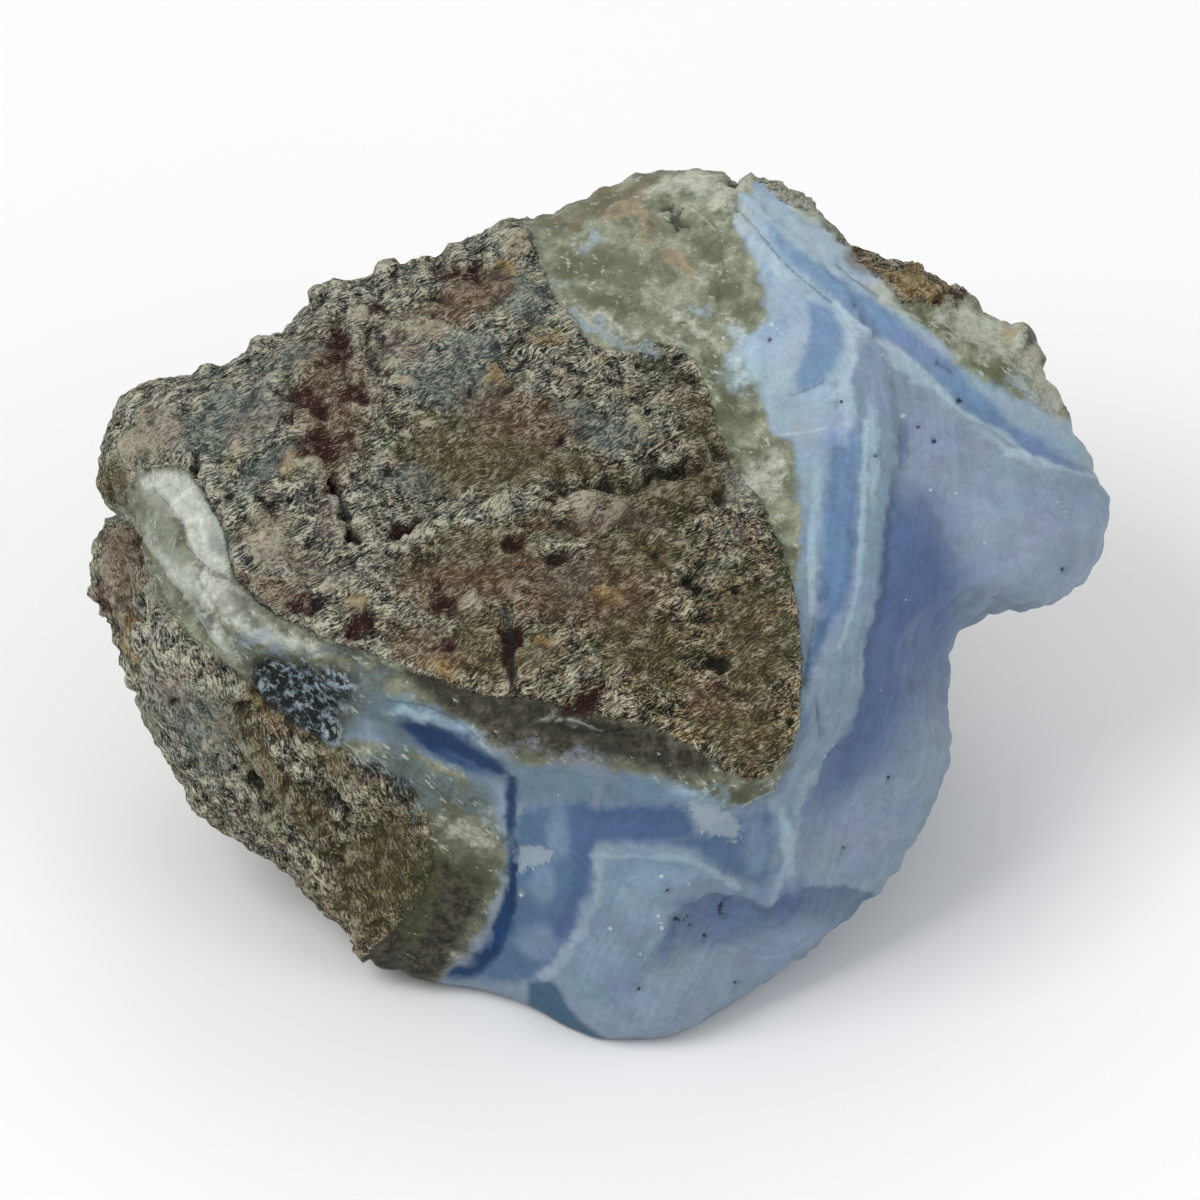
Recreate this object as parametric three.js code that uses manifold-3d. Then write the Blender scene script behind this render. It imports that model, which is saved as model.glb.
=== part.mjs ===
// A broken piece of a blue lace agate geode, as one solid: dark granular host rock, with the
// cracks between its blocks filled by blue chalcedony. Millimetres, +Z up, on its flat spot.
//
// The side that shows was drawn on a slanted plane. A mark on that drawing is [across, down]
// in drawing units, and a third number, where there is one, is its height off it in mm.
import * as THREE from 'three';
import { ImprovedNoise } from 'three/addons/math/ImprovedNoise.js';
import { mergeVertices } from 'three/addons/utils/BufferGeometryUtils.js';
import Module from 'manifold-3d';

// Driving dimensions
const stoneWidth = 100; // mm, the outline's full width
const drawingTilt = THREE.MathUtils.degToRad(40); // how far the drawing's line of sight looks down
const flatSpotLevel = -32; // mm, the flat spot's level below the drawing's centre
const faceRounding = 2.6; // mm, how softly broken faces run into each other
const frontTaper = 0.1; // how fast the outline closes in front of the widest section
const backTaper = 0.34; // and behind it
const easingLoss = 0.5; // mm that easing the tight corners takes off the outline
const icosahedronDetail = 21;
const wrapRounds = 64;
const easeRounds = 2;

const drawingCentre = [600, 600];

// The outline, clockwise from the left shoulder
const outlineMarks = [
  [128, 403], [162, 392], [203, 376], [242, 370], [258, 353], [291, 342], [305, 329], [319, 302],
  [341, 292], [366, 282], [393, 270], [420, 271], [443, 265], [482, 241], [522, 226], [559, 215],
  [584, 205], [617, 179], [650, 168], [686, 154], [732, 156], [762, 172], [782, 200], [822, 246],
  [852, 273], [882, 270], [924, 278], [973, 304], [1003, 312], [1029, 329], [1039, 350],
  [1036, 369], [1056, 410], [1071, 440], [1088, 459], [1098, 490], [1109, 512], [1104, 538],
  [1082, 582], [1043, 606], [1007, 599], [978, 601], [967, 618], [943, 637], [939, 662],
  [946, 703], [947, 740], [938, 802], [914, 840], [892, 874], [868, 902], [835, 936], [812, 947],
  [780, 974], [745, 998], [724, 1005], [694, 1030], [649, 1047], [602, 1039], [554, 1018],
  [527, 990], [478, 982], [435, 975], [387, 953], [339, 931], [309, 896], [287, 859], [254, 835],
  [213, 808], [175, 763], [152, 743], [142, 697], [137, 679], [121, 643], [102, 605], [91, 574],
  [94, 546], [106, 528], [123, 514], [112, 487], [103, 459], [115, 430],
];

// Broken faces of the side that shows, each through three marks
const shownFaces = {
  upper: [[750, 775, 24], [240, 600, 12], [560, 215, -9]],
  lowerLeft: [[440, 690, 19], [150, 720, 1], [450, 975, -1]],
  upperRight: [[850, 300, -2], [870, 600, 15], [1105, 520, -7]],
  lowerRight: [[840, 640, 21], [945, 720, 7], [820, 945, 1]],
  upperLeftEdge: [[200, 480, 5], [560, 290, -5], [319, 302, -13]],
  leftEnd: [[165, 400, -2], [190, 560, 8], [103, 460, -8]],
};

// Broken faces of the hidden side: an outward direction and its distance from the centre, in mm
const hiddenFaces = {
  back: { outward: [0.1, 0.98, 0.12], distance: 45.5 },
  backLeft: { outward: [-0.5, 0.86, -0.1], distance: 39.5 },
  backRight: { outward: [0.52, 0.84, -0.1], distance: 44.5 },
  underLeft: { outward: [-0.47, 0.14, -0.87], distance: 35 },
  underRight: { outward: [0.52, 0.12, -0.85], distance: 35 },
  underBack: { outward: [0.05, 0.66, -0.75], distance: 34.5 },
  lowBack: { outward: [-0.1, 0.94, -0.33], distance: 38 },
};

// Blocks of host rock. Each stands a little proud of the agate beside it.
const hostBlocks = {
  upper: [
    [0, 300], [500, 150], [543, 262], [556, 302], [600, 334], [648, 346], [690, 368], [712, 410],
    [728, 455], [762, 515], [790, 590], [798, 650], [793, 725], [776, 762], [750, 778], [712, 766],
    [660, 743], [600, 727], [540, 712], [470, 694], [425, 676], [350, 652], [300, 628], [262, 612],
    [240, 594], [228, 565], [205, 512], [175, 470], [150, 444], [132, 470], [122, 514], [0, 514],
  ],
  lower: [
    [0, 514], [122, 514], [150, 560], [168, 612], [205, 645], [262, 682], [300, 722], [345, 752],
    [400, 778], [445, 800], [482, 818], [500, 850], [498, 882], [484, 918], [462, 942],
    [440, 1000], [150, 1050],
  ],
  rim: [
    [730, 120], [760, 188], [800, 232], [850, 280], [905, 332], [962, 388], [1012, 402],
    [1062, 428], [1180, 380], [900, 150],
  ],
};
const hostRise = 0.9; // mm

// The banded layers, which end in a broken step above the massive agate
const bandedLayers = [
  [742, 190], [800, 240], [852, 300], [872, 345], [893, 385], [885, 450], [878, 520], [873, 585],
  [858, 640], [838, 700], [828, 745], [800, 790], [790, 845], [776, 904], [758, 905], [738, 893],
  [702, 888], [672, 900], [655, 930], [640, 975], [600, 1080], [380, 1040], [300, 600],
  [700, 380],
];
const layerStep = 1.2; // mm

// Grooves and ridges along a line of marks: rise in mm, below zero for a groove, and half width
const creases = {
  blueTrough: {
    line: [[395, 722], [440, 745], [490, 772], [511, 802], [508, 860], [494, 915], [452, 966]],
    rise: -0.9, reach: 3.2,
  },
  darkPocket: { line: [[268, 664], [305, 695], [345, 722]], rise: -1.8, reach: 4 },
  browHollow: { line: [[632, 488], [665, 470], [690, 462]], rise: -1.1, reach: 2.8 },
  brow: { line: [[560, 508], [610, 512], [665, 502], [705, 490]], rise: 0.9, reach: 2.8 },
  leftWaist: { line: [[120, 514], [148, 560], [158, 640]], rise: -0.9, reach: 2.6 },
  upperLedge: { line: [[240, 480], [330, 430], [450, 360], [520, 330]], rise: 0.8, reach: 4 },
  lowerHostRidge: { line: [[190, 640], [250, 740], [330, 850]], rise: 1.2, reach: 4.5 },
};

// Lumps and pits: where, rise in mm, and radius in mm
const lumps = {
  crystalKnob: { at: [508, 250], rise: 1.3, reach: 3.4 },
  rimmedLump: { at: [362, 352], rise: 1.3, reach: 4.4 },
  rimKnob: { at: [1028, 346], rise: 1.4, reach: 3 },
  nose: { at: [757, 728], rise: 1.4, reach: 7 },
  darkPit: { at: [404, 534], rise: -1, reach: 2.4 },
  lowerPit: { at: [318, 606], rise: -1, reach: 2.6 },
  greenPit: { at: [694, 586], rise: -0.9, reach: 2.4 },
  leftLump: { at: [112, 580], rise: 1.2, reach: 5 },
  agateSwell: { at: [640, 940], rise: 1.3, reach: 12 },
  rightSwell: { at: [1040, 510], rise: 1.5, reach: 12 },
  bayHollow: { at: [905, 660], rise: -1.6, reach: 11 },
};

// Waves of roughness: length of a wave and height in mm, on host rock and on agate. A chipped
// wave is a shallow scoop with a crest on each side.
const roughness = [
  { wave: 23, onHost: 2.8, onAgate: 2, chipped: true },
  { wave: 10.5, onHost: 1.8, onAgate: 0.45, chipped: true },
  { wave: 5.5, onHost: 0.7, onAgate: 0.1 },
];

const hostColour = new THREE.Color(0x6f6a55);
const rindColour = new THREE.Color(0x8d927e);
const paleColour = new THREE.Color(0x9fb4cc);
const deepColour = new THREE.Color(0x5c7cae);
const massiveColour = new THREE.Color(0x8793b0);

const across = outlineMarks.map(([a]) => a);
const unit = stoneWidth / (Math.max(...across) - Math.min(...across)); // mm per drawing unit
const right = new THREE.Vector3(1, 0, 0);
const upwards = new THREE.Vector3(0, Math.sin(drawingTilt), Math.cos(drawingTilt));
const outwards = new THREE.Vector3(0, -Math.cos(drawingTilt), Math.sin(drawingTilt));
const noise = new ImprovedNoise();
const { smoothstep, clamp, lerp } = THREE.MathUtils;

function flat([a, d]) {
  return new THREE.Vector2(a - drawingCentre[0], drawingCentre[1] - d).multiplyScalar(unit);
}

// A mark with a height, as a point of the stone
function raised([a, d, height]) {
  const { x, y } = flat([a, d]);
  return new THREE.Vector3()
    .addScaledVector(right, x)
    .addScaledVector(upwards, y)
    .addScaledVector(outwards, height);
}

// Distance in mm from (x, y) to the nearest segment of a line of flat points
function lineDistance(points, x, y, closed) {
  let nearest = Infinity;
  for (let i = closed ? 0 : 1; i < points.length; i++) {
    const from = points[i ? i - 1 : points.length - 1];
    const dx = points[i].x - from.x;
    const dy = points[i].y - from.y;
    const t = clamp(((x - from.x) * dx + (y - from.y) * dy) / (dx * dx + dy * dy), 0, 1);
    nearest = Math.min(nearest, (x - from.x - t * dx) ** 2 + (y - from.y - t * dy) ** 2);
  }
  return Math.sqrt(nearest);
}

// The same for an area, above zero inside it
function depthInside(points, x, y) {
  let inside = false;
  for (let i = 0; i < points.length; i++) {
    const a = points[i];
    const b = points[i ? i - 1 : points.length - 1];
    if (a.y > y !== b.y > y && x < ((b.x - a.x) * (y - a.y)) / (b.y - a.y) + a.x) inside = !inside;
  }
  const distance = lineDistance(points, x, y, true);
  return inside ? distance : -distance;
}

const outline = outlineMarks.map(flat);
const hostOutlines = Object.values(hostBlocks).map((marks) => marks.map(flat));
const layerOutline = bandedLayers.map(flat);
const creaseLines = Object.values(creases).map((c) => ({ ...c, line: c.line.map(flat) }));
const lumpSpots = Object.values(lumps).map((l) => ({ ...l, at: flat(l.at) }));

const faces = [
  ...Object.values(shownFaces).map((marks) => {
    const plane = new THREE.Plane().setFromCoplanarPoints(...marks.map(raised));
    return plane.normal.dot(outwards) < 0 ? plane.negate() : plane;
  }),
  ...Object.values(hiddenFaces).map(
    ({ outward, distance }) =>
      new THREE.Plane(new THREE.Vector3(...outward).normalize(), -distance),
  ),
];

// Height of the widest section, where the outline is reached
function widestHeight(y) {
  return -12 - 0.16 * y;
}

function softMax(a, b) {
  const overlap = Math.max(faceRounding - Math.abs(a - b), 0) / faceRounding;
  return Math.max(a, b) + (overlap * overlap * faceRounding) / 4;
}

// Where a point lies on the drawing. Behind the widest section the blocks lean to the right,
// so that more of the hidden side is host rock.
function blockPlace(x, y, height) {
  const behind = Math.max(widestHeight(y) - height, 0);
  return [x - 0.55 * behind, y + 0.25 * behind];
}

function depthInHost(x, y) {
  return Math.max(...hostOutlines.map((block) => depthInside(block, x, y)));
}

// How far a point is outside the smooth body, in mm. Below zero inside.
function outsideBody(p) {
  const y = p.dot(upwards);
  const above = p.dot(outwards) - widestHeight(y);
  const taper = above > 0 ? frontTaper * above : -backTaper * above;
  let outside = taper - depthInside(outline, p.dot(right), y) - easingLoss;
  for (const face of faces) outside = softMax(outside, face.distanceToPoint(p));
  return outside;
}

// How far the surface stands out from the smooth body at a point, in mm
function relief(p) {
  const x = p.dot(right);
  const y = p.dot(upwards);
  const height = p.dot(outwards);
  const host = smoothstep(depthInHost(...blockPlace(x, y, height)), -1, 1);

  let rise = hostRise * host + layerStep * smoothstep(depthInside(layerOutline, x, y), -0.8, 0.8);
  for (const { line, rise: most, reach } of creaseLines) {
    rise += most * (1 - smoothstep(lineDistance(line, x, y, false), 0, reach));
  }
  for (const { at, rise: most, reach } of lumpSpots) {
    rise += most * (1 - smoothstep(Math.hypot(x - at.x, y - at.y), 0, reach));
  }
  rise *= smoothstep(height - widestHeight(y), 0, 5);

  for (const { wave, onHost, onAgate, chipped } of roughness) {
    const ripple = noise.noise(p.x / wave, p.y / wave, p.z / wave);
    rise -= lerp(onAgate, onHost, host) * (chipped ? Math.abs(ripple) - 0.2 : ripple);
  }
  return rise;
}

// Measures outsideBody at a point, and sets slope to the direction in which it grows
function measure(p, slope) {
  const step = 0.25;
  const here = outsideBody(p);
  const moved = p.clone();
  for (const axis of ['x', 'y', 'z']) {
    moved[axis] += step;
    slope[axis] = outsideBody(moved) - here;
    moved[axis] = p[axis];
  }
  slope.normalize();
  return here;
}

function neighboursOf(geometry) {
  const neighbours = Array.from(geometry.getAttribute('position').array, () => new Set());
  const corners = geometry.index.array;
  for (let i = 0; i < corners.length; i += 3) {
    for (const k of [0, 1, 2]) {
      neighbours[corners[i + k]].add(corners[i + ((k + 1) % 3)]);
      neighbours[corners[i + k]].add(corners[i + ((k + 2) % 3)]);
    }
  }
  return neighbours;
}

// Sets middle to the way from point i to the average of its neighbours
function towardsAverage(points, neighbours, i, middle) {
  middle.set(0, 0, 0);
  for (const n of neighbours[i]) middle.add(points[n]);
  return middle.divideScalar(neighbours[i].size).sub(points[i]);
}

// Draws a ball's vertices in to the body, spreads them evenly over it and eases the tight
// corners, then moves each vertex out or in by the relief
function shrinkWrap(ball) {
  const position = ball.getAttribute('position');
  const neighbours = neighboursOf(ball);
  const points = Array.from({ length: position.count }, (_, i) =>
    new THREE.Vector3().fromBufferAttribute(position, i),
  );
  const slope = new THREE.Vector3();
  const middle = new THREE.Vector3();
  for (let round = 0; round < wrapRounds; round++) {
    points.forEach((p, i) => {
      const outside = measure(p, slope);
      towardsAverage(points, neighbours, i, middle);
      middle.addScaledVector(slope, -middle.dot(slope));
      p.addScaledVector(middle, 0.6).addScaledVector(slope, -0.9 * outside);
    });
  }
  for (let round = 0; round < easeRounds; round++) {
    points.forEach((p, i) => p.addScaledVector(towardsAverage(points, neighbours, i, middle), 0.5));
  }
  for (const p of points) {
    measure(p, slope);
    p.addScaledVector(slope, relief(p));
  }
  points.forEach((p, i) => {
    p.addScaledVector(towardsAverage(points, neighbours, i, middle), 0.25);
    position.setXYZ(i, p.x, p.y, p.z);
  });
  return ball;
}

function bareMesh(geometry) {
  geometry.deleteAttribute('normal');
  geometry.deleteAttribute('uv');
  return mergeVertices(geometry, 1e-4);
}

const wasm = await Module();
wasm.setup();

function solidOf(geometry) {
  return new wasm.Manifold(
    new wasm.Mesh({
      numProp: 3,
      vertProperties: geometry.getAttribute('position').array,
      triVerts: new Uint32Array(geometry.index.array),
    }),
  );
}

function geometryOf(solid) {
  const { vertProperties, triVerts } = solid.getMesh();
  return new THREE.BufferGeometry()
    .setAttribute('position', new THREE.BufferAttribute(vertProperties, 3))
    .setIndex(new THREE.BufferAttribute(triVerts, 1));
}

// Vertex colours: host rock, its grey-green rind, then bands of blue into the massive agate
function colourOf(p) {
  const [x, y] = blockPlace(p.dot(right), p.dot(upwards), p.dot(outwards));
  const fromHost = -depthInHost(x, y);
  if (fromHost < 0) return hostColour;
  const bands = [[2.5, rindColour], [5, paleColour], [8, deepColour], [11, paleColour]];
  const band = bands.find(([reach]) => fromHost < reach);
  return band ? band[1] : massiveColour;
}

function makeStone() {
  const ball = bareMesh(new THREE.IcosahedronGeometry(1, icosahedronDetail));
  ball.scale(0.7 * stoneWidth, 0.6 * stoneWidth, 0.6 * stoneWidth);
  const rough = solidOf(shrinkWrap(ball));

  const below = bareMesh(new THREE.BoxGeometry(2 * stoneWidth, 2 * stoneWidth, stoneWidth));
  below.translate(0, 0, flatSpotLevel - stoneWidth / 2);
  const geometry = geometryOf(rough.subtract(solidOf(below)));

  const position = geometry.getAttribute('position');
  const colours = [];
  const p = new THREE.Vector3();
  for (let i = 0; i < position.count; i++) {
    colours.push(...colourOf(p.fromBufferAttribute(position, i)).toArray());
  }
  geometry.setAttribute('color', new THREE.Float32BufferAttribute(colours, 3));
  geometry.computeVertexNormals();
  return geometry;
}

const stone = new THREE.Mesh(
  makeStone(),
  new THREE.MeshStandardMaterial({ vertexColors: true, roughness: 0.75, metalness: 0 }),
);
stone.name = 'agate_stone';

// The origin is the middle of the stone's base
stone.geometry.computeBoundingBox();
const { min, max } = stone.geometry.boundingBox;
stone.position.set(-(min.x + max.x) / 2, -(min.y + max.y) / 2, -min.z);

const geode = new THREE.Group();
geode.add(stone);

export default geode;
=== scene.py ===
# A broken piece of blue lace agate rock on a pale floor, seen from above at its photograph's angle.
# Metres, in the row frame. The stone was drawn on a slanted plane: a mark is (across, down) in
# drawing units, and depths and heights there are in millimetres.
import math

import bpy
import numpy as np
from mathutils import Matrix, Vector, noise


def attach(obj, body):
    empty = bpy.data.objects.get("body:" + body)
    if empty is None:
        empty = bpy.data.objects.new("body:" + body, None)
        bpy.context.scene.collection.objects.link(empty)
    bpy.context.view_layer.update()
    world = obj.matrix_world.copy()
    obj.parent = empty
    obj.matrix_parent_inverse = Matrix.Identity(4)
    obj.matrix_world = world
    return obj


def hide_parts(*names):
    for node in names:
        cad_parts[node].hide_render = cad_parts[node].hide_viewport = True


drawing = {
    "tilt": math.radians(40),  # how far the line of sight looks down
    "unit": 100 / 1018,  # mm to a drawing unit
    "middle": (600, 600),
    "place": (0.000214, -0.005764, 0.032),  # where the middle is in the row frame
}

upwards = np.array([0, math.sin(drawing["tilt"]), math.cos(drawing["tilt"])])
outwards = np.array([0, -math.cos(drawing["tilt"]), math.sin(drawing["tilt"])])

# Blocks of dark host rock, which run on through the stone
hostBlocks = [
    [
        (0, 250), (500, 150), (524, 226), (534, 238), (540, 262), (548, 286), (559, 306),
        (574, 320), (580, 340), (610, 358), (634, 352), (650, 338), (681, 350), (699, 367),
        (709, 400), (718, 436), (730, 462), (744, 486), (758, 502), (770, 528), (782, 556),
        (793, 600), (798, 650), (796, 700), (790, 735), (776, 764), (750, 776), (722, 768),
        (700, 752), (672, 738), (640, 722), (600, 717), (560, 706), (524, 696), (484, 694),
        (440, 680), (400, 664), (352, 648), (318, 636), (286, 622), (258, 602), (240, 586),
        (230, 566), (221, 520), (208, 506), (198, 484), (178, 464), (140, 474), (122, 514),
        (0, 514),
    ],
    [
        (0, 514), (122, 514), (142, 540), (158, 580), (170, 610), (196, 640), (232, 668),
        (262, 694), (296, 724), (326, 742), (352, 750), (384, 760), (410, 776), (426, 800),
        (434, 824), (438, 852), (430, 884), (412, 912), (384, 934), (360, 960), (330, 1050),
        (150, 1050),
    ],
    [
        (742, 120), (750, 174), (770, 191), (804, 211), (832, 235), (854, 257), (876, 278),
        (896, 296), (918, 304), (940, 309), (955, 307), (966, 298), (990, 250), (900, 150),
    ],
]

# Where the banded layers end in a broken step above the massive agate
layerEdge = [
    (742, 190), (800, 240), (852, 300), (880, 350), (895, 417), (897, 465), (889, 490),
    (882, 538), (877, 590), (871, 623), (863, 645), (860, 690), (848, 730), (831, 751),
    (818, 768), (812, 786), (799, 800), (798, 822), (790, 853), (783, 875), (777, 898),
    (768, 905), (752, 898), (730, 892), (706, 891), (682, 903), (668, 910), (665, 930),
    (655, 950), (640, 975), (600, 1080), (380, 1040), (300, 600), (700, 380),
]

# What is painted as areas. The ones that run "through" are seen on the hidden side too.
paintedAreas = {
    "rind": {"through": True, "areas": [
        [
            (500, 150), (762, 100), (756, 184), (737, 200), (738, 235), (752, 262), (764, 290),
            (768, 320), (752, 334), (738, 340), (744, 362), (756, 388), (764, 412), (770, 434), (792, 446),
            (798, 474), (798, 513), (799, 560), (792, 610), (700, 600), (500, 400),
        ],
        [
            (90, 440), (190, 440), (260, 560), (310, 610), (400, 640), (477, 670), (543, 684),
            (620, 700), (680, 720), (737, 760), (784, 750), (788, 766), (764, 784), (747, 798),
            (728, 802),
            (696, 792), (660, 776), (610, 764), (572, 762), (524, 764), (498, 745), (470, 724),
            (438, 708), (400, 690), (372, 694), (345, 745), (300, 735), (245, 690), (200, 655),
            (120, 590),
        ],
        [
            (330, 735), (372, 738), (418, 748), (456, 766), (484, 784), (498, 806), (507, 830),
            (513, 856), (508, 874),
            (496, 899), (490, 928), (470, 950), (446, 968), (420, 1040), (300, 1050), (380, 900),
        ],
        [
            (890, 290), (904, 310), (930, 330), (950, 352), (972, 372), (1000, 388), (1030, 402),
            (1064, 424), (1180, 400), (1100, 250), (1000, 200), (940, 240),
        ],
    ]},
    "pale": {"through": True, "areas": [
        [
            (724, 196), (746, 186), (775, 194), (804, 210), (832, 232), (856, 256), (878, 278),
            (900, 298), (924, 322), (948, 342), (972, 360), (1002, 380), (1044, 402), (1084, 430),
            (1104, 474), (1051, 467), (1026, 457), (1010, 441), (991, 429), (962, 416), (946, 400),
            (927, 377), (914, 365), (889, 349), (863, 336), (850, 330), (853, 352), (849, 374),
            (832, 404), (829, 430), (824, 554), (808, 640), (804, 700), (798, 745), (780, 790),
            (740, 806), (686, 803), (600, 806), (560, 800), (522, 806), (508, 780), (480, 778),
            (450, 762), (410, 745), (384, 724), (378, 706), (420, 700), (470, 720), (520, 756),
            (600, 758), (690, 785), (760, 775), (788, 700), (790, 600), (796, 500), (760, 436),
            (730, 350), (762, 320), (748, 250),
        ],
    ]},
    "greenPale": {"through": True, "areas": [
        [
            (866, 340), (880, 372), (894, 417), (895, 465), (887, 490), (880, 538), (875, 590),
            (869, 623), (861, 645), (858, 690), (846, 730), (829, 751), (816, 770), (808, 790),
            (797, 800), (796, 822), (788, 853), (781, 875), (775, 898), (766, 903), (764, 860),
            (776, 800), (792, 760), (812, 716), (822, 680), (838, 640), (852, 600), (858, 540),
            (862, 474), (850, 420), (838, 404), (852, 372),
        ],
    ]},
    "midBlue": {"areas": [
        [
            (519, 806), (560, 802), (592, 800), (597, 823), (592, 848), (591, 866), (584, 897),
            (566, 935), (543, 966), (528, 984), (470, 978), (480, 965), (510, 930), (519, 897),
            (516, 862),
        ],
        [
            (640, 838), (690, 842), (712, 868), (745, 880), (764, 890), (768, 840), (770, 800),
            (740, 808), (700, 830),
        ],
    ]},
    "deep": {"through": True, "areas": [
        [
            (766, 220), (790, 246), (814, 262), (842, 278), (864, 292), (890, 312), (914, 332),
            (940, 352), (958, 366), (972, 384), (990, 404), (1012, 424), (1040, 440), (1066, 456),
            (1095, 472), (1051, 463), (1026, 453), (1010, 437), (991, 424), (962, 410), (946, 394),
            (927, 371), (914, 358), (889, 342), (863, 329), (838, 305), (814, 284), (790, 264),
            (772, 244),
        ],
        [
            (806, 304), (818, 302), (834, 312), (842, 334), (842, 353), (832, 372), (816, 384),
            (796, 393), (800, 366), (812, 334),
        ],
        [
            (831, 433), (828, 474), (825, 506), (823, 554), (816, 600), (812, 640), (804, 680),
            (806, 672), (822, 642), (842, 604), (853, 576), (856, 513), (860, 474), (860, 433),
        ],
        [
            (556, 806), (592, 803), (640, 803), (684, 802), (690, 820), (692, 836), (635, 838),
            (599, 838), (593, 848), (591, 866), (584, 897), (566, 935), (545, 962), (538, 962),
            (560, 925), (574, 885), (578, 855), (574, 830), (562, 822),
        ],
    ]},
    "navy": {"areas": [
        [
            (396, 722), (404, 719), (421, 719), (441, 726), (459, 735), (477, 745), (492, 753),
            (506, 760), (506, 770), (477, 769), (457, 762), (431, 750), (414, 741), (402, 732),
        ],
        [
            (510, 772), (519, 774), (519, 790), (518, 808), (517, 840), (517, 862), (520, 890),
            (519, 917), (506, 945), (488, 966), (472, 980), (440, 978), (456, 963), (474, 945),
            (490, 922), (498, 902), (506, 879), (512, 850), (512, 815), (510, 795),
        ],
    ]},
    "teal": {"areas": [
        [(523, 985), (545, 976), (560, 987), (570, 1012), (606, 1040), (640, 1060), (540, 1060)],
    ]},
    "lowPale": {"areas": [
        [
            (596, 850), (640, 852), (684, 852), (712, 868), (745, 882), (768, 892), (776, 840),
            (790, 780), (812, 760), (798, 830), (784, 880), (770, 906), (730, 894), (700, 896),
            (668, 912), (664, 940), (640, 980), (600, 1010), (560, 990), (548, 974), (584, 920),
            (600, 874),
        ],
    ]},
    # Painted shadow below the broken step of the layers
    "under": {"areas": [
        [
            (668, 910), (682, 902), (706, 891), (730, 892), (752, 898), (768, 905), (820, 880),
            (900, 900), (900, 1200), (560, 1200), (640, 980), (662, 944),
        ],
    ]},
    "shade": {"areas": [
        [
            (890, 500), (925, 520), (950, 570), (940, 640), (905, 700), (866, 760), (828, 800),
            (826, 780), (860, 730), (876, 640),
        ],
    ]},
    "chip": {"areas": [
        [
            (684, 800), (694, 797), (704, 800), (716, 804), (730, 812), (739, 824), (733, 840),
            (722, 834), (706, 832), (694, 822),
        ],
        [
            (516, 846), (530, 842), (545, 844), (556, 848), (554, 858), (538, 862), (524, 872),
            (517, 866),
        ],
    ]},
    "quartz": {"areas": [
        [
            (138, 478), (178, 468), (198, 486), (208, 510), (220, 518), (227, 543), (230, 566),
            (227, 576), (207, 570), (189, 555), (184, 522), (164, 512), (146, 500),
        ],
        [
            (192, 566), (210, 574), (228, 579), (243, 594), (258, 612), (274, 630), (300, 640),
            (324, 646), (330, 655), (294, 654), (262, 642), (236, 626), (220, 612), (206, 590),
        ],
        [
            (138, 520), (166, 540), (186, 560), (204, 586), (216, 616), (226, 640), (238, 660),
            (226, 656), (214, 636), (200, 614), (180, 590), (158, 556),
        ],
    ]},
    "pocket": {"areas": [
        [
            (260, 652), (286, 660), (314, 662), (346, 664), (360, 680), (352, 698), (344, 716),
            (352, 740), (334, 750), (310, 740), (284, 722), (264, 700), (252, 678), (250, 662),
        ],
    ]},
    # Painted shade: dark strips below the host blocks
    "shadeUnderBlock": {"through": True, "areas": [
        [
            (400, 660), (477, 680), (543, 700), (620, 716), (680, 738), (720, 760), (700, 776),
            (660, 770), (610, 758), (572, 754), (524, 752), (498, 738), (470, 720), (438, 706),
        ],
        [(380, 850), (440, 850), (480, 862), (490, 890), (460, 940), (400, 1040), (320, 1040)],
    ]},
}

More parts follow.
